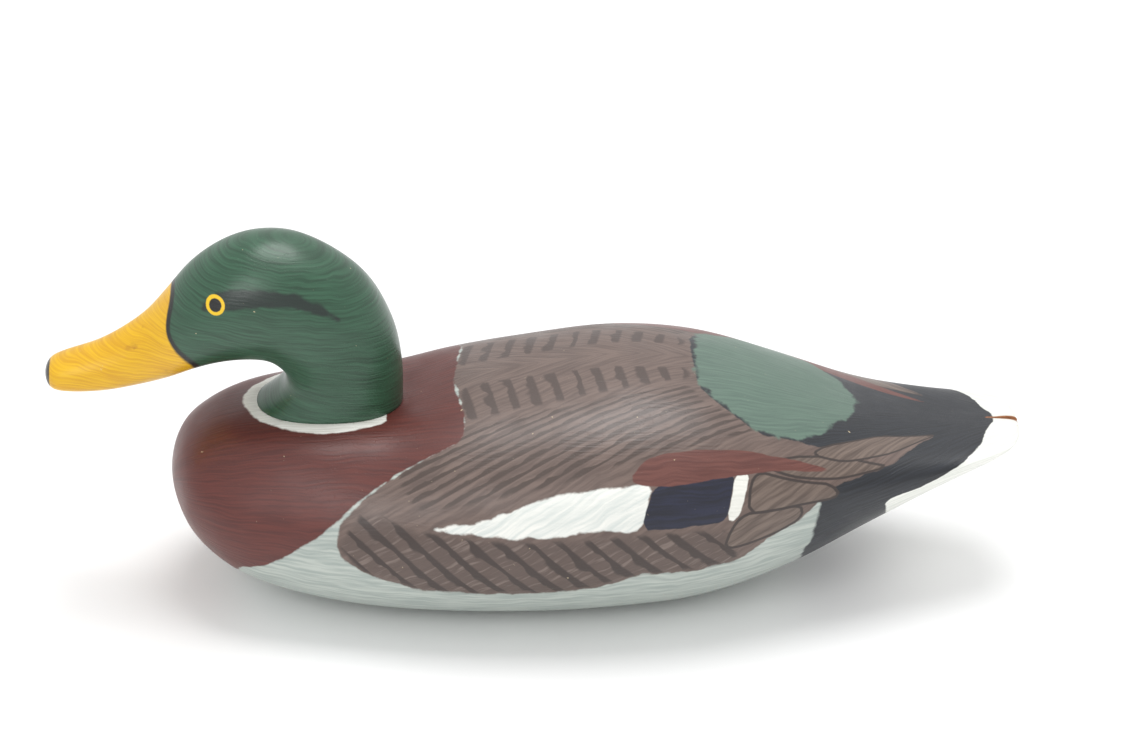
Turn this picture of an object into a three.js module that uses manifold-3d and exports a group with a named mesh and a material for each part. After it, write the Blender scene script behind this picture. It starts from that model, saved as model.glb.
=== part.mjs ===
// A painted wooden duck decoy: a low, broad drake with a level head, made of two carved blocks.
// The body block carries the breast, back and tail, and is flat underneath. The head block, with its
// bill and neck, stands on a level seat cut in the body behind the breast.
// Millimetres, +Z up, head towards -X. The origin is on the flat underside, mid-way along the decoy.
import * as THREE from "three";
import Module from "manifold-3d";

const wasm = await Module();
wasm.setup();

// Driving dimensions
const SEAT_Z = 83; // height of the level seat that the neck stands on
const SEAT_X = [-115, -54]; // front and rear of the neck where it meets the seat
const SEAT_HALF = 23.5; // half the neck's breadth there
const SEAT_GAP = 0.3; // room left round the neck where the body would rise against it
const SEAT_RIM = 5; // flat shelf left round the neck, which carries the white ring
const SEAT_BLEND = 26; // run over which the shelf fades into the back and breast
const NECK_FULL = 2.3; // superellipse power of the neck's outline on the seat

const SPLIT_START = 191; // the old split in the tail: where it begins, and how wide it gapes at the tip
const SPLIT_GAPE = 3.2;
const SPLIT_TIP = 206;

const BODY_ROWS = 60;
const BODY_SIDES = 48;
const HEAD_ROWS = 44;
const HEAD_SIDES = 32;

// A rib is one cross-section of a block: the point on its underside and the point on its top, both as
// [x, z] in the plane of symmetry, half its breadth, how far up its height it is broadest, and how
// full it is below and above that, as superellipse powers.
const rib = (low, high, half, beam, fullLow, fullHigh) => ({ low, high, half, beam, fullLow, fullHigh });

const BODY_RIBS = [
  rib([-151.5, 52], [-151.5, 52], 0, 0.5, 2, 2),
  rib([-148.5, 38], [-148.5, 65], 20, 0.5, 2, 2),
  rib([-140, 24], [-140, 74], 37, 0.5, 2, 2),
  rib([-123, 11], [-123, 80], 50, 0.48, 2, 2),
  rib([-98, 2], [-98, 83], 58, 0.47, 2, 2.1),
  rib([-68, -3], [-68, 85], 65, 0.47, 2, 2.1),
  rib([-35, -5], [-35, 91.5], 71, 0.49, 2.05, 2.2),
  rib([0, -6], [0, 97], 73.5, 0.5, 2.05, 2.2),
  rib([35, -5], [35, 101], 73.5, 0.51, 2.05, 2.2),
  rib([70, -1], [70, 98], 69, 0.54, 2.1, 2.2),
  rib([105, 10], [105, 87], 58, 0.59, 2.1, 2.2),
  rib([138, 27], [138, 75], 46, 0.64, 2, 2.2),
  rib([167, 44], [167, 69], 37, 0.66, 2, 2.2),
  rib([189, 56.5], [190, 67], 29, 0.64, 2, 2.2),
  rib([200.5, 62.5], [201, 66.5], 19, 0.6, 2, 2.2),
  rib([204, 64.5], [204, 64.5], 0, 0.5, 2, 2),
];

const HEAD_RIBS = [
  rib([-201.5, 97.5], [-201.5, 97.5], 0, 0.5, 2, 2),
  rib([-199.3, 92.5], [-199.6, 103], 8, 0.45, 2.3, 2),
  rib([-192, 91], [-193, 106.5], 11, 0.4, 2.4, 2),
  rib([-177, 91], [-177, 112.3], 12, 0.38, 2.3, 1.9),
  rib([-162, 93.5], [-160.5, 123], 13.5, 0.38, 2.2, 1.9),
  rib([-150, 97], [-150, 134], 17.5, 0.42, 2.2, 2),
  rib([-139, 101.5], [-140, 145.5], 22, 0.45, 2.2, 2),
  rib([-128, 105], [-127, 154.5], 25, 0.45, 2.3, 2),
  rib([-117, 106], [-113, 159], 26.5, 0.45, 2.3, 2),
  rib([-109, 104.5], [-97, 158], 27, 0.45, 2.2, 2),
  rib([-104, 100], [-80, 149], 27, 0.45, 2.1, 2.1),
  rib([-102.5, 96], [-66, 136], 26, 0.47, 2.1, 2.1),
  rib([-104, 91.5], [-57, 117], 24, 0.49, 2.2, 2.2),
  rib([-108.5, 87], [-54, 99], 23, 0.5, 2.3, 2.3),
  rib([-115, SEAT_Z], [-54, SEAT_Z], SEAT_HALF, 0.5, NECK_FULL, NECK_FULL),
];

// The numbers of a rib as one list, so that a curve can be drawn through each of them.
const numbersOf = (r) => [...r.low, ...r.high, r.half, r.beam, r.fullLow, r.fullHigh];
const ribOf = (n) => rib([n[0], n[1]], [n[2], n[3]], n[4], n[5], n[6], n[7]);

// Catmull-Rom value between b and c.
function between(a, b, c, d, t) {
  const rise = (c - a) / 2;
  const fall = (d - b) / 2;
  return (
    b + rise * t + (3 * (c - b) - 2 * rise - fall) * t * t + (2 * (b - c) + rise + fall) * t * t * t
  );
}

// The rib beyond a pole is its neighbour seen from the other side, which makes the pole round.
const acrossPole = (r) => rib(r.high, r.low, -r.half, r.beam, r.fullHigh, r.fullLow);
const straightOn = (end, next) =>
  ribOf(numbersOf(end).map((v, i) => 2 * v - numbersOf(next)[i]));
const beyond = (end, next) => (end.half === 0 ? acrossPole(next) : straightOn(end, next));

// The cross-section at a place from 0 to 1 along a block.
function ribAt(ribs, place) {
  const line = [beyond(ribs[0], ribs[1]), ...ribs, beyond(ribs.at(-1), ribs.at(-2))].map(numbersOf);
  const spans = ribs.length - 1;
  const span = Math.min(spans - 1, Math.floor(place * spans));
  const t = place * spans - span;
  return ribOf(line[span].map((v, i) =>
    between(v, line[span + 1][i], line[span + 2][i], line[span + 3][i], t)));
}

// A point on a rib. The angle runs from a quarter turn below to a quarter turn above, and on round.
function skinPoint(r, angle) {
  const up = Math.sin(angle);
  const out = Math.cos(angle);
  const power = 2 / (up < 0 ? r.fullLow : r.fullHigh);
  const side = Math.sign(out) * Math.abs(out) ** power * r.half;
  const reach = up < 0 ? r.beam : 1 - r.beam;
  const share = r.beam + Math.sign(up) * Math.abs(up) ** power * reach;
  return new THREE.Vector3(
    THREE.MathUtils.lerp(r.low[0], r.high[0], share),
    side,
    THREE.MathUtils.lerp(r.low[1], r.high[1], share),
  );
}

// A closed block over its ribs: rows of points round each rib, with a fan at each end.
function blockOver(ribs, rows, sides, shape = (p) => p) {
  const points = [];
  const faces = [];
  const ring = (row, side) => row * sides + (side % sides);
  const first = ribs[0].half === 0 ? 1 : 0;
  const last = ribs.at(-1).half === 0 ? rows - 1 : rows;
  for (let row = first; row <= last; row++) {
    const r = ribAt(ribs, row / rows);
    for (let side = 0; side < sides; side++) {
      points.push(shape(skinPoint(r, -Math.PI / 2 + (2 * Math.PI * side) / sides)));
    }
  }
  const count = last - first;
  for (let row = 0; row < count; row++) {
    for (let side = 0; side < sides; side++) {
      const [a, b] = [ring(row, side), ring(row, side + 1)];
      const [c, d] = [ring(row + 1, side), ring(row + 1, side + 1)];
      faces.push(a, b, c, b, d, c);
    }
  }
  for (const [row, end] of [[0, ribs[0]], [count, ribs.at(-1)]]) {
    const tip = points.push(shape(skinPoint({ ...end, half: 0 }, 0))) - 1;
    for (let side = 0; side < sides; side++) {
      const edge = [ring(row, side), ring(row, side + 1)];
      faces.push(...(row === 0 ? [edge[1], edge[0], tip] : [edge[0], edge[1], tip]));
    }
  }
  const geometry = new THREE.BufferGeometry().setFromPoints(points);
  geometry.setIndex(faces);
  return geometry;
}

// How far a place on the top lies outside the neck's outline, in millimetres, and 0 inside it.
function outsideNeck(x, y) {
  const middle = (SEAT_X[0] + SEAT_X[1]) / 2;
  const halfLong = (SEAT_X[1] - SEAT_X[0]) / 2;
  const across = Math.abs((x - middle) / halfLong) ** NECK_FULL + Math.abs(y / SEAT_HALF) ** NECK_FULL;
  const scale = across ** (1 / NECK_FULL);
  return Math.max(0, (scale - 1) * Math.hypot(x - middle, y) / Math.max(scale, 1e-6));
}

// The flat underside and the level neck seat, worked on the body's skin.
function bodyShape(p) {
  if (p.z < 0) p.z = 0;
  if (p.z > SEAT_Z - 30) {
    const away = outsideNeck(p.x, p.y) - SEAT_RIM;
    const near = 1 - THREE.MathUtils.smoothstep(away, 0, SEAT_BLEND);
    const high = THREE.MathUtils.smoothstep(p.z, SEAT_Z - 30, SEAT_Z - 6);
    p.z = THREE.MathUtils.lerp(p.z, SEAT_Z, away <= 0 ? 1 : near * high * 0.6);
  }
  return p;
}

const paint = (color, roughness) => new THREE.MeshStandardMaterial({ color, roughness, metalness: 0 });

// A skin of triangles as a solid that can be cut, and back again.
const solidOf = (geometry) =>
  wasm.Manifold.ofMesh(new wasm.Mesh({
    numProp: 3,
    vertProperties: new Float32Array(geometry.getAttribute("position").array),
    triVerts: new Uint32Array(geometry.index.array),
  }));

function skinOf(solid) {
  const { vertProperties, triVerts } = solid.getMesh();
  const geometry = new THREE.BufferGeometry();
  geometry.setAttribute("position", new THREE.BufferAttribute(vertProperties, 3));
  geometry.setIndex(new THREE.BufferAttribute(triVerts, 1));
  geometry.computeVertexNormals();
  return geometry;
}

// The split runs up through the tail along the grain, from nothing to its full gape at the tip.
const splitOutline = [[SPLIT_START, 0], [SPLIT_TIP, -SPLIT_GAPE / 2], [SPLIT_TIP, SPLIT_GAPE / 2]];
const split = wasm.Manifold.extrude([splitOutline], SEAT_Z).translate([0, 0, 1]);

// The room over the seat that the neck fills, a hair wider than the neck.
const neckOutline = Array.from({ length: HEAD_SIDES * 2 }, (_, i) => {
  const angle = (Math.PI * i) / HEAD_SIDES;
  const [c, s] = [Math.cos(angle), Math.sin(angle)];
  const along = Math.sign(c) * Math.abs(c) ** (2 / NECK_FULL) * ((SEAT_X[1] - SEAT_X[0]) / 2 + SEAT_GAP);
  const across = Math.sign(s) * Math.abs(s) ** (2 / NECK_FULL) * (SEAT_HALF + SEAT_GAP);
  return [(SEAT_X[0] + SEAT_X[1]) / 2 + along, across];
});
const neckRoom = wasm.Manifold.extrude([neckOutline], SEAT_Z).translate([0, 0, SEAT_Z]);

const whole = solidOf(blockOver(BODY_RIBS, BODY_ROWS, BODY_SIDES, bodyShape));
const body = new THREE.Mesh(skinOf(whole.subtract(split).subtract(neckRoom)), paint(0x6b5a50, 0.55));
body.name = "body";

const headSkin = blockOver(HEAD_RIBS, HEAD_ROWS, HEAD_SIDES);
headSkin.computeVertexNormals();
const head = new THREE.Mesh(headSkin, paint(0x2f5a40, 0.45));
head.name = "head";

const decoy = new THREE.Group();
decoy.add(body, head);

export default decoy;
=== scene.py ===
"""A painted wooden duck decoy, dressed over its two carved blocks.

Metres, head towards -X. Every painted edge is drawn in a flat chart of its block: on the body
the place along it in millimetres and the angle round its long axis in degrees, from -90 at the
keel to 90 on the back; on the head the height in millimetres instead of the angle.
Each vertex holds its distance inside each outline, and the materials turn that into paint.
"""
import math

import bmesh
import bpy
import numpy as np
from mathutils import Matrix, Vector


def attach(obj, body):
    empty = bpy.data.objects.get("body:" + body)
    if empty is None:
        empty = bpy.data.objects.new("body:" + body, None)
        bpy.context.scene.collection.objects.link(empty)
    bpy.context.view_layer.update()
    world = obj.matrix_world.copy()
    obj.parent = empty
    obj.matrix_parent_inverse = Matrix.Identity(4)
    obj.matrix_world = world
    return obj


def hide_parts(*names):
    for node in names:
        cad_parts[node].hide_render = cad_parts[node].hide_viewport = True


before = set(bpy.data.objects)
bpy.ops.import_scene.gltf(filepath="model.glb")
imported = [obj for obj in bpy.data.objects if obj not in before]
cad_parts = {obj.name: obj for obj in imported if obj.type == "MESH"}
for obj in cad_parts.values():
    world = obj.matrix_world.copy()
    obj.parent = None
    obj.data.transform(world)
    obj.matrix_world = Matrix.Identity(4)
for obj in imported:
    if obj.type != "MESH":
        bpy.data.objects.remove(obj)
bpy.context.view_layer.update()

MM = 0.001
DEG_TO_MM = 1.15  # how far one degree round the body runs on its skin
SMOOTHING_LEVELS = 2
CORNER_CUT = 2.5  # the most that a painted corner loses on each side
SHARP_EDGE = math.radians(50)

# Camera, measured from the photograph
CAMERA_AZIMUTH = math.radians(-2.5)
CAMERA_ELEVATION = math.radians(28)
CAMERA_DISTANCE = 1.6
CAMERA_TARGET = Vector((0.0141, 0, 0.0897))
CAMERA_LENS = 122.1
SENSOR_WIDTH = 36

# Outlines on the body, as (millimetres along, degrees round)
BREAST = [
    (-170, -95), (-130, -95), (-123, -21), (-113, -13), (-98, -1), (-90, 4), (-81, 12), (-72, 20),
    (-67, 23), (-58, 29), (-51, 33), (-43, 37), (-30, 43), (-29, 54), (-31, 68), (-34, 95), (-170, 95),
]
WING = [
    (-67, 23), (-77, 14), (-82, 8), (-82, 2), (-80, -4), (-73, -7), (-63, -11), (-47, -14), (-30, -14),
    (-12, -15), (11, -14), (29, -11), (38, -7), (61, -8), (82, -7), (97, 3), (108, 6), (120, 17),
    (145, 16), (168, 24), (143, 37), (119, 35), (104, 41), (90, 44), (81, 52), (73, 59), (67, 67),
    (66, 95), (-34, 95), (-31, 68), (-29, 54), (-30, 43), (-43, 37), (-58, 29),
]
LOWER_WING = [
    (-82, 2), (-73, -7), (-47, -14), (11, -14), (38, -7), (82, -7), (76, 8), (34, 8), (-1, 6),
    (-28, 7), (-50, 9), (-70, 16),
]
ARC_PANEL = [
    (-30, 48), (-7, 53), (26, 58), (64, 67), (67, 58), (81, 52), (90, 44), (66, 38), (41, 33),
    (8, 25), (-28, 19), (-50, 16), (-58, 29), (-43, 37),
]
MANTLE = [(-30, 52), (-7, 57), (26, 62), (64, 71), (64, 79), (-30, 79)]
WHITE_WEDGE = [
    (-45, 10), (-30, 12), (-16, 15), (-7, 18), (4, 21), (19, 23), (39, 25), (46, 25), (41, 10),
    (34, 10), (19, 10), (-1, 8), (-15, 8), (-28, 9),
]
SPECULUM = [(46, 24), (61, 26), (80, 28), (76, 11), (57, 10), (41, 10)]
REAR_BAR = [(80, 28), (86, 28), (81, 11), (76, 11)]
FEATHER = [
    (36, 26), (42, 32), (51, 35), (65, 36), (85, 36), (104, 32), (123, 23), (99, 28), (84, 27),
    (74, 26), (55, 24), (42, 24),
]
FAR_FEATHER = [(35, 44), (35, 52), (70, 60), (98, 52), (126, 49), (158, 44), (168, 38), (140, 33), (60, 37)]
PRIMARIES = {
    "outer": [
        [(112, 33), (119, 36), (143, 37), (168, 24), (148, 22), (126, 26)],
        [(86, 24), (90, 28), (120, 18), (124, 11), (107, 13), (85, 13)],
    ],
    "inner": [
        [(92, 30), (104, 33), (124, 30), (145, 16), (124, 19), (103, 25)],
        [(83, 13), (107, 13), (108, 7), (97, 3), (83, 0), (75, 0), (78, 8)],
    ],
}
RUMP_PATCH = [
    (67, 95), (67, 79), (68, 67), (73, 59), (81, 52), (90, 44), (104, 41), (116, 41), (130, 57),
    (136, 88), (136, 95),
]
BLACK_RUMP = [
    (111, -95), (109, -13), (113, -10), (114, 4), (116, 12), (112, 30), (95, 36), (56, 60),
    (56, 95), (220, 95), (220, -95),
]
WHITE_TAIL = [
    (193, 95), (193, 28), (191, 18), (187, 6), (182, 4), (175, 1), (167, -2), (156, -4), (143, -3),
    (146, -30), (150, -95), (220, -95), (220, 95),
]

# Outlines on the head, as (millimetres along, millimetres up)
BILL = [
    (-147, 140), (-147, 135), (-149, 127), (-149, 122), (-146, 117), (-142, 113), (-138, 108),
    (-136, 80), (-220, 80), (-220, 140),
]
EYE_STRIPE = [
    (-135, 136), (-133, 140), (-125, 144), (-111, 145), (-95, 142), (-83, 135), (-77, 129),
    (-87, 134), (-99, 138), (-113, 138), (-121, 137), (-134, 135),
]
EYE_CENTRE = (-129, 138)
EYE_RADIUS = 3.9
PUPIL_RADIUS = 2.6
NAIL_END = -199.3

# The neck's outline on its seat, and the ring painted round it
NECK_CENTRE = -84.5
NECK_HALF_LONG = 30.5
NECK_HALF_WIDE = 23.5
RING_WIDTH = 5.5
RING_REAR = -61
SEAT_LOW = 79

# The split in the tail
SPLIT_START = 190
SPLIT_SPREAD = 0.11  # how fast its bare wood widens towards the tip
SPLIT_LIP = 0.5
FAR_OFF = -20  # stands for well outside an outline

# The axis that the angle round the body is measured about: its height, and its rise to the tail
AXIS_HEIGHT = 45
AXIS_RISE = 20
AXIS_RISE_START = 90
AXIS_RISE_RUN = 110

# Each paint on the body as its lighter and darker mix, in 0 to 255 values
SIDE_PAINT = ((186, 193, 186), (158, 168, 163))
BODY_PAINTS = {
    "black_rump": ((36, 40, 48), (20, 23, 29)),
    "wing": ((116, 98, 90), (92, 76, 70)),
    "breast": ((98, 42, 34), (80, 32, 27)),
    "white_wedge": ((242, 242, 236), (214, 220, 216)),
    "speculum": ((30, 34, 58), (18, 20, 36)),
    "rear_bar": ((244, 243, 236), (226, 226, 218)),
    "inner": ((122, 106, 96), (86, 72, 65)),
    "outer": ((122, 106, 96), (86, 72, 65)),
    "feather": ((112, 66, 58), (92, 50, 44)),
    "rump_patch": ((98, 122, 108), (84, 106, 95)),
    "white_tail": ((246, 246, 240), (226, 229, 222)),
    "ring": ((247, 246, 240), (224, 222, 214)),
    "raw_wood": ((190, 122, 66), (134, 78, 40)),
}
WING_SHADE = (76, 62, 57)
WING_RUBBED = (132, 116, 108)
PRIMARY_RIM = (58, 48, 45)

# The dark strokes painted on the feathers: paint, lean, bow, pitch and breadth
FEATHER_STROKES = {
    "lower_wing": ((60, 48, 44), 1.1, 0.0, 12.0, 0.24),
    "arc_panel": ((74, 60, 54), -1.6, -0.004, 8.2, 0.3),
    "mantle": ((76, 62, 57), 0.15, 0.0, 9.2, 0.26),
}

HEAD_GREEN = ((50, 92, 68), (30, 66, 46))
EYE_STRIPE_PAINT = (22, 32, 30)
BILL_YELLOW = ((232, 182, 0), (214, 158, 0))
BILL_STAIN = (170, 112, 10)
BILL_SEAM = (20, 22, 20)
NAIL_PAINT = (24, 22, 18)
EYE_RING = (240, 196, 20)
PUPIL_PAINT = (12, 12, 14)
BARE_SPECK = (214, 196, 160)

# Light and floor
WORLD_STRENGTH = 0.8
FLOOR_PAINT = ((252, 252, 252), (249, 249, 249))
FLOOR_HALF_SIZE = 8
LIT_PLACE = Vector((0, 0, 0.08))
LAMPS = {"overhead": ((0.1, 0.25, 1.5), 0.9, 11), "front": ((-0.7, -1.4, 1.2), 1.0, 6)}


def linear(value):
    """A 0 to 255 value as the linear value that a material takes."""
    share = value / 255
    return share / 12.92 if value <= 10 else ((share + 0.055) / 1.055) ** 2.4


def srgb(red, green, blue):
    return (linear(red), linear(green), linear(blue), 1)


def skin_of(node):
    """The node's solid as a smooth skin of small quads."""
    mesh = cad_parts[node].data.copy()
    bm = bmesh.new()
    bm.from_mesh(mesh)
    bmesh.ops.remove_doubles(bm, verts=bm.verts, dist=0.02 * MM)
    bmesh.ops.join_triangles(
        bm, faces=bm.faces, angle_face_threshold=math.radians(40), angle_shape_threshold=math.radians(60)
    )
    crease = bm.edges.layers.float.get("crease_edge") or bm.edges.layers.float.new("crease_edge")
    for edge in bm.edges:
        if edge.is_manifold and edge.calc_face_angle(0) > SHARP_EDGE:
            edge[crease] = 1
    for face in bm.faces:
        face.smooth = True
    bm.to_mesh(mesh)
    bm.free()
    mesh.materials.clear()
    rough = bpy.data.objects.new("rough_" + node, mesh)
    bpy.context.scene.collection.objects.link(rough)
    smoothing = rough.modifiers.new("smoothing", "SUBSURF")
    smoothing.levels = smoothing.render_levels = SMOOTHING_LEVELS
    depsgraph = bpy.context.evaluated_depsgraph_get()
    smooth = bpy.data.meshes.new_from_object(rough.evaluated_get(depsgraph))
    bpy.data.objects.remove(rough)
    return smooth


def vertices_of(mesh):
    """The mesh's vertices as rows of millimetres."""
    flat = np.zeros(len(mesh.vertices) * 3, np.float32)
    mesh.vertices.foreach_get("co", flat)
    return flat.reshape(-1, 3).astype(float) / MM


def store(mesh, name, values):
    """One number on each vertex, for the materials to read."""
    mesh.attributes.new(name, "FLOAT", "POINT").data.foreach_set("value", np.asarray(values, np.float32))


def rounded(outline):
    """The outline with its corners cut, as a brush rounds them."""
    here = np.array(outline, float)
    run = np.roll(here, -1, axis=0) - here
    cut = run * np.minimum(0.25, CORNER_CUT / np.hypot(*run.T))[:, None]
    return np.stack([here + cut, here + run - cut], axis=1).reshape(-1, 2)


def inside(chart, outline, unit=(1, DEG_TO_MM)):
    """How far each chart place lies inside an outline, in millimetres; outside it is negative."""
    places = chart * unit
    corners = rounded(outline) * unit
    nearest = np.full(len(places), 1e9)
    within = np.zeros(len(places), bool)
    for start, end in zip(corners, np.roll(corners, -1, axis=0)):
        run = end - start
        share = np.clip(((places - start) @ run) / max(run @ run, 1e-9), 0, 1)
        nearest = np.minimum(nearest, np.hypot(*(places - start - share[:, None] * run).T))
        crosses = (start[1] > places[:, 1]) != (end[1] > places[:, 1])
        rise = run[1] if abs(run[1]) > 1e-9 else 1e-9
        within ^= crosses & (places[:, 0] < start[0] + (places[:, 1] - start[1]) * run[0] / rise)
    return np.where(within, nearest, -nearest)


def body_chart(points):
    """Millimetres along the body and degrees round it. The axis rises towards the tail."""
    x, y, z = points.T
    rise = np.clip((x - AXIS_RISE_START) / AXIS_RISE_RUN, 0, 1)
    axis = AXIS_HEIGHT + AXIS_RISE * rise * rise * (3 - 2 * rise)
    return np.stack([x, np.degrees(np.arctan2(z - axis, np.abs(y)))], axis=1)


class Brush:
    """A short way to add nodes to a material or a node group."""

    def __init__(self, tree):
        self.tree = tree

    def node(self, kind, **settings):
        made = self.tree.nodes.new(kind)
        for name, value in settings.items():
            setattr(made, name, value)
        return made

    def plug(self, socket, value):
        if isinstance(value, bpy.types.NodeSocket):
            self.tree.links.new(value, socket)
        else:
            socket.default_value = value

    def field(self, name):
        return self.node("ShaderNodeAttribute", attribute_name=name).outputs["Fac"]

    def maths(self, operation, first, second=0.0, third=0.0):
        made = self.node("ShaderNodeMath", operation=operation)
        for socket, value in zip(made.inputs, (first, second, third)):
            self.plug(socket, value)
        return made.outputs[0]

    def fade(self, value, start, end, low=0.0, high=1.0):
        """Goes smoothly from low to high as the value goes from start to end."""
        made = self.node("ShaderNodeMapRange", interpolation_type="SMOOTHSTEP")
        given = {"Value": value, "From Min": start, "From Max": end, "To Min": low, "To Max": high}
        for name, number in given.items():
            self.plug(made.inputs[name], number)
        return made.outputs["Result"]

    def noise(self, vector, scale, detail=3.0):
        made = self.node("ShaderNodeTexNoise")
        self.plug(made.inputs["Vector"], vector)
        made.inputs["Scale"].default_value = scale
        made.inputs["Detail"].default_value = detail
        return made.outputs["Fac"]

    def vector(self, x, y, z=0.0):
        made = self.node("ShaderNodeCombineXYZ")
        for socket, value in zip(made.inputs, (x, y, z)):
            self.plug(socket, value)
        return made.outputs[0]

    def over(self, under, colour, mask):
        """One colour laid over another where the mask is 1."""
        made = self.node("ShaderNodeMix", data_type="RGBA")
        self.plug(made.inputs[0], mask)
        self.plug(made.inputs[6], under)
        self.plug(made.inputs[7], colour)
        return made.outputs[2]

    def group(self, tree, **inputs):
        made = self.node("ShaderNodeGroup", node_tree=tree)
        for name, value in inputs.items():
            self.plug(made.inputs[name], value)
        return made.outputs[0]


def new_group(name, inputs, output):
    """An empty node group with float inputs and one float output, and its brush and sockets."""
    tree = bpy.data.node_groups.new(name, "ShaderNodeTree")
    for socket, value in inputs.items():
        made = tree.interface.new_socket(socket, in_out="INPUT", socket_type="NodeSocketFloat")
        made.default_value = value
    tree.interface.new_socket(output, in_out="OUTPUT", socket_type="NodeSocketFloat")
    brush = Brush(tree)
    return tree, brush, brush.node("NodeGroupInput").outputs, brush.node("NodeGroupOutput").inputs[0]


def painted_edge_group():
    """Paint that covers the inside of an outline up to a ragged, brushed edge."""
    tree, b, given, result = new_group("painted_edge", {"Inside": 0, "Ragged": 1, "Soft": 0.4}, "Cover")
    place = b.node("ShaderNodeTexCoord").outputs["Object"]
    wander = b.maths("SUBTRACT", b.noise(place, 160, 4), 0.5)
    edge = b.maths("MULTIPLY_ADD", wander, b.maths("MULTIPLY", given["Ragged"], 4), given["Inside"])
    b.plug(result, b.fade(edge, b.maths("MULTIPLY", given["Soft"], -1), given["Soft"]))
    return tree


def bristle_group():
    """Fine streaks that a brush leaves, along a direction of the chart."""
    tree, b, given, result = new_group("bristle", {"Along": 0, "Round": 0, "Slope": 0, "Fine": 1}, "Streak")
    across = b.maths("MULTIPLY_ADD", given["Along"], given["Slope"], given["Round"])
    bent = b.noise(b.vector(given["Along"], given["Round"]), 0.05, 2)
    lane = b.maths("MULTIPLY", b.maths("MULTIPLY_ADD", bent, 6, across), given["Fine"])
    b.plug(result, b.noise(b.vector(b.maths("MULTIPLY", given["Along"], 0.05), lane), 1.0, 4))
    return tree


def feather_lines_group():
    """Rows of dark strokes at an even pitch, leaning by the slope."""
    inputs = {"Along": 0, "Round": 0, "Slope": 0, "Bend": 0, "Pitch": 10, "Width": 0.12}
    tree, b, given, result = new_group("feather_lines", inputs, "Line")
    lean = b.maths("MULTIPLY_ADD", given["Round"], given["Slope"], given["Along"])
    bow = b.maths("MULTIPLY", b.maths("POWER", b.maths("ABSOLUTE", given["Round"]), 2), given["Bend"])
    warp = b.noise(b.vector(given["Along"], given["Round"]), 0.09, 2)
    sum_of = b.maths("ADD", b.maths("ADD", lean, bow), b.maths("MULTIPLY", warp, 5))
    turn = b.maths("FRACT", b.maths("DIVIDE", sum_of, given["Pitch"]))
    off = b.maths("ABSOLUTE", b.maths("SUBTRACT", turn, 0.5))
    thick = b.maths("MULTIPLY", given["Width"], b.fade(warp, 0.3, 0.7, 0.5, 1.4))
    b.plug(result, b.maths("SUBTRACT", 1.0, b.fade(off, b.maths("MULTIPLY", thick, 0.5), thick)))
    return tree


EDGE = painted_edge_group()
BRISTLE = bristle_group()
LINES = feather_lines_group()


def new_material(name):
    """A material with only a shader in it, and the brush and shader to build it with."""
    made = bpy.data.materials.new(name)
    made.use_nodes = True
    made.node_tree.nodes.clear()
    brush = Brush(made.node_tree)
    shader = brush.node("ShaderNodeBsdfPrincipled")
    brush.tree.links.new(shader.outputs[0], brush.node("ShaderNodeOutputMaterial").inputs[0])
    return made, brush, shader


def finish_paint(b, shader, colour, streak, roughness, coat):
    """The skin of old satin paint: brush marks in its height and a little wear in its sheen."""
    place = b.node("ShaderNodeTexCoord").outputs["Object"]
    pores = b.fade(b.noise(place, 900, 2), 0.62, 0.72)
    specks = b.fade(b.noise(place, 420, 3), 0.74, 0.78)
    worn = b.over(colour, srgb(*BARE_SPECK), b.maths("MULTIPLY", specks, 0.7))
    b.plug(shader.inputs["Base Color"], worn)
    cloudy = b.noise(place, 40, 3)
    b.plug(shader.inputs["Roughness"], b.fade(cloudy, 0.3, 0.7, roughness - 0.08, roughness + 0.1))
    shader.inputs["Coat Weight"].default_value = coat
    shader.inputs["Coat Roughness"].default_value = 0.28
    bump = b.node("ShaderNodeBump")
    bump.inputs["Strength"].default_value = 0.5
    bump.inputs["Distance"].default_value = 0.0004
    height = b.maths("SUBTRACT", streak, b.maths("MULTIPLY", pores, 0.25))
    b.plug(bump.inputs["Height"], height)
    b.tree.links.new(bump.outputs[0], shader.inputs["Normal"])


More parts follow.
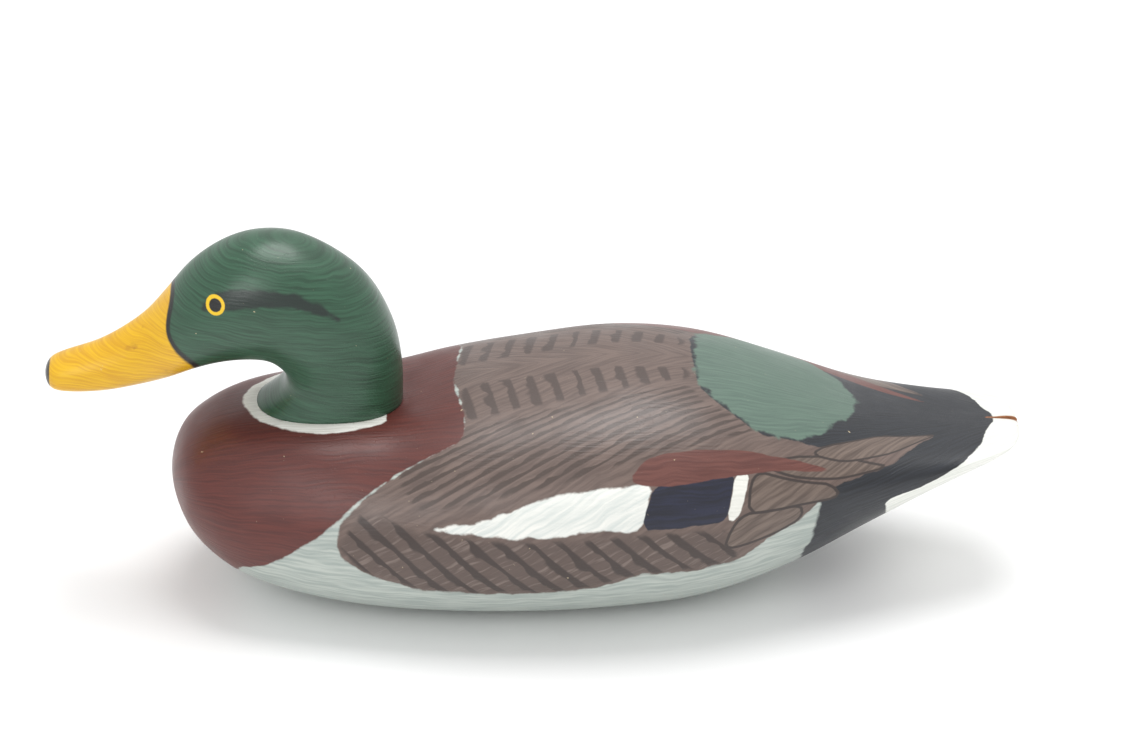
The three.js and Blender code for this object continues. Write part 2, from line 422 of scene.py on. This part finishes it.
def body_paint():
    """The body's paints, laid one over the other in the order that they were brushed on."""
    made, b, shader = new_material("body_paint")
    along, around = b.field("along"), b.field("around")
    level = b.group(BRISTLE, Along=along, Round=around, Slope=0.0, Fine=0.7)
    leaning = b.group(BRISTLE, Along=along, Round=around, Slope=-0.55, Fine=0.5)
    rubbed = b.fade(leaning, 0.5, 0.66)

    def lay(under, name, ragged, soft, streak=level):
        light, dark = BODY_PAINTS[name]
        paint = b.over(srgb(*light), srgb(*dark), b.fade(streak, 0.3, 0.7))
        return b.over(under, paint, b.group(EDGE, Inside=b.field(name), Ragged=ragged, Soft=soft))

    light, dark = SIDE_PAINT
    colour = b.over(srgb(*light), srgb(*dark), b.fade(level, 0.35, 0.65))
    colour = lay(colour, "black_rump", 1.2, 0.8)
    colour = lay(colour, "wing", 1.0, 0.5, leaning)
    shaded = b.group(EDGE, Inside=b.field("lower_wing"), Ragged=1.0, Soft=2.0)
    colour = b.over(colour, srgb(*WING_SHADE), b.maths("MULTIPLY", shaded, 0.6))
    worn = b.maths("MULTIPLY", rubbed, b.maths("MULTIPLY", shaded, 0.7))
    colour = b.over(colour, srgb(*WING_RUBBED), worn)
    for name, (paint, slope, bend, pitch, width) in FEATHER_STROKES.items():
        leaned = {"Slope": slope, "Bend": bend, "Pitch": pitch, "Width": width}
        drawn = b.group(LINES, Along=along, Round=around, **leaned)
        within = b.group(EDGE, Inside=b.field(name), Ragged=0.8, Soft=1.2)
        colour = b.over(colour, srgb(*paint), b.maths("MULTIPLY", drawn, within))
    colour = lay(colour, "breast", 0.7, 0.5)
    colour = lay(colour, "white_wedge", 1.0, 0.6, leaning)
    colour = lay(colour, "speculum", 0.5, 0.3)
    colour = lay(colour, "rear_bar", 0.4, 0.3)
    for name in ("inner", "outer"):
        colour = lay(colour, name, 0.5, 0.4, leaning)
        from_rim = b.maths("ABSOLUTE", b.field(name))
        colour = b.over(colour, srgb(*PRIMARY_RIM), b.fade(from_rim, 0.9, 0.3))
    colour = lay(colour, "feather", 0.4, 0.3)
    colour = lay(colour, "rump_patch", 2.6, 1.2)
    colour = lay(colour, "white_tail", 0.7, 0.4)
    colour = lay(colour, "ring", 0.5, 0.4)
    colour = lay(colour, "raw_wood", 0.2, 0.2)
    finish_paint(b, shader, colour, level, 0.46, 0.25)
    return made


def head_paint():
    """The green head with its dark eye stripe, the painted eye and the yellow bill."""
    made, b, shader = new_material("head_paint")
    along, up = b.field("along"), b.field("around")
    level = b.group(BRISTLE, Along=along, Round=up, Slope=0.15, Fine=1.2)
    place = b.node("ShaderNodeTexCoord").outputs["Object"]

    def cover(name, ragged=0.3, soft=0.25):
        return b.group(EDGE, Inside=b.field(name), Ragged=ragged, Soft=soft)

    def mixed(paints, start, end):
        light, dark = paints
        return b.over(srgb(*light), srgb(*dark), b.fade(level, start, end))

    green = mixed(HEAD_GREEN, 0.3, 0.7)
    stripe = b.maths("MULTIPLY", cover("eye_stripe", 0.8, 0.8), 0.9)
    colour = b.over(green, srgb(*EYE_STRIPE_PAINT), stripe)
    stain = b.fade(b.noise(place, 120, 4), 0.62, 0.85)
    yellow = b.over(mixed(BILL_YELLOW, 0.35, 0.65), srgb(*BILL_STAIN), stain)
    colour = b.over(colour, yellow, cover("bill", 0.25, 0.2))
    from_seam = b.maths("ABSOLUTE", b.field("bill"))
    seam_width = b.fade(up, 108, 126, 2.4, 1.2)
    colour = b.over(colour, srgb(*BILL_SEAM), b.fade(from_seam, seam_width, 0.5))
    colour = b.over(colour, srgb(*NAIL_PAINT), cover("nail"))
    colour = b.over(colour, srgb(*EYE_RING), cover("eye", 0.1, 0.2))
    colour = b.over(colour, srgb(*PUPIL_PAINT), cover("pupil", 0.1, 0.2))
    finish_paint(b, shader, colour, level, 0.38, 0.35)
    return made


def block(name, node, material):
    """One painted block in place of its plain solid."""
    mesh = skin_of(node)
    mesh.name = name
    mesh.materials.append(material)
    made = bpy.data.objects.new(name, mesh)
    bpy.context.scene.collection.objects.link(made)
    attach(made, "root")
    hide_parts(node)
    return made


def paint_body(mesh):
    """Tells each vertex of the body how far inside each painted outline it lies."""
    points = vertices_of(mesh)
    x, y, z = points.T
    chart = body_chart(points)
    store(mesh, "along", chart[:, 0])
    store(mesh, "around", chart[:, 1] * DEG_TO_MM)
    regions = {
        "breast": BREAST,
        "wing": WING,
        "lower_wing": LOWER_WING,
        "arc_panel": ARC_PANEL,
        "mantle": MANTLE,
        "white_wedge": WHITE_WEDGE,
        "speculum": SPECULUM,
        "rear_bar": REAR_BAR,
        "rump_patch": RUMP_PATCH,
        "black_rump": BLACK_RUMP,
        "white_tail": WHITE_TAIL,
    }
    for name, outline in regions.items():
        store(mesh, name, inside(chart, outline))
    for name, outlines in PRIMARIES.items():
        store(mesh, name, np.max([inside(chart, outline) for outline in outlines], axis=0))
    far_side = np.where(y > 0, inside(chart, FAR_FEATHER), FAR_OFF)
    store(mesh, "feather", np.maximum(inside(chart, FEATHER), far_side))
    reach = np.hypot((x - NECK_CENTRE) / (NECK_HALF_LONG + RING_WIDTH), y / (NECK_HALF_WIDE + RING_WIDTH))
    ring = np.minimum((1 - reach) * NECK_HALF_WIDE, np.minimum(RING_REAR - x, z - SEAT_LOW))
    store(mesh, "ring", ring)
    past = x - SPLIT_START
    store(mesh, "raw_wood", np.minimum(past, past * SPLIT_SPREAD + SPLIT_LIP - np.abs(y)))


def paint_head(mesh):
    """Tells each vertex of the head how far inside each painted outline it lies."""
    points = vertices_of(mesh)
    x, _, z = points.T
    chart = np.stack([x, z], axis=1)
    store(mesh, "along", x)
    store(mesh, "around", z)
    store(mesh, "bill", inside(chart, BILL, (1, 1)))
    store(mesh, "eye_stripe", inside(chart, EYE_STRIPE, (1, 1)))
    from_eye = np.hypot(x - EYE_CENTRE[0], z - EYE_CENTRE[1])
    store(mesh, "eye", EYE_RADIUS - from_eye)
    store(mesh, "pupil", PUPIL_RADIUS - from_eye)
    store(mesh, "nail", NAIL_END - x)


def build_decoy():
    paint_body(block("carved_body", "body", body_paint()).data)
    paint_head(block("carved_head", "head", head_paint()).data)


def floor():
    """A plain pale ground, far wider than the view."""
    bm = bmesh.new()
    bmesh.ops.create_grid(bm, x_segments=1, y_segments=1, size=FLOOR_HALF_SIZE)
    mesh = bpy.data.meshes.new("floor")
    bm.to_mesh(mesh)
    bm.free()
    made = bpy.data.objects.new("floor", mesh)
    bpy.context.scene.collection.objects.link(made)
    material, b, shader = new_material("floor_white")
    place = b.node("ShaderNodeTexCoord").outputs["Object"]
    light, dark = FLOOR_PAINT
    b.plug(shader.inputs["Base Color"], b.over(srgb(*light), srgb(*dark), b.noise(place, 2)))
    shader.inputs["Roughness"].default_value = 0.9
    mesh.materials.append(material)


def area_light(name, place, size, watts):
    """A round soft lamp that faces the decoy."""
    lamp = bpy.data.lights.new(name, "AREA")
    lamp.shape = "DISK"
    lamp.size = size
    lamp.energy = watts
    made = bpy.data.objects.new(name, lamp)
    made.location = place
    made.rotation_mode = "QUATERNION"
    made.rotation_quaternion = (LIT_PLACE - Vector(place)).to_track_quat("-Z", "Y")
    bpy.context.scene.collection.objects.link(made)


def studio():
    """Even white surroundings with two soft lamps."""
    world = bpy.data.worlds.new("studio")
    world.use_nodes = True
    background = world.node_tree.nodes["Background"]
    background.inputs["Color"].default_value = (1, 1, 1, 1)
    background.inputs["Strength"].default_value = WORLD_STRENGTH
    bpy.context.scene.world = world
    bpy.context.scene.view_settings.view_transform = "Standard"
    for name, (place, size, watts) in LAMPS.items():
        area_light(name, place, size, watts)


def camera():
    """The photograph's view of the decoy."""
    lens = bpy.data.cameras.new("camera")
    lens.lens = CAMERA_LENS
    lens.sensor_width = SENSOR_WIDTH
    lens.clip_start = 0.05
    made = bpy.data.objects.new("camera", lens)
    level = math.cos(CAMERA_ELEVATION)
    back = Vector((
        math.sin(CAMERA_AZIMUTH) * level, -math.cos(CAMERA_AZIMUTH) * level, math.sin(CAMERA_ELEVATION)
    ))
    made.location = CAMERA_TARGET + back * CAMERA_DISTANCE
    made.rotation_mode = "QUATERNION"
    made.rotation_quaternion = (-back).to_track_quat("-Z", "Y")
    bpy.context.scene.collection.objects.link(made)
    bpy.context.scene.camera = made


build_decoy()
floor()
studio()
camera()
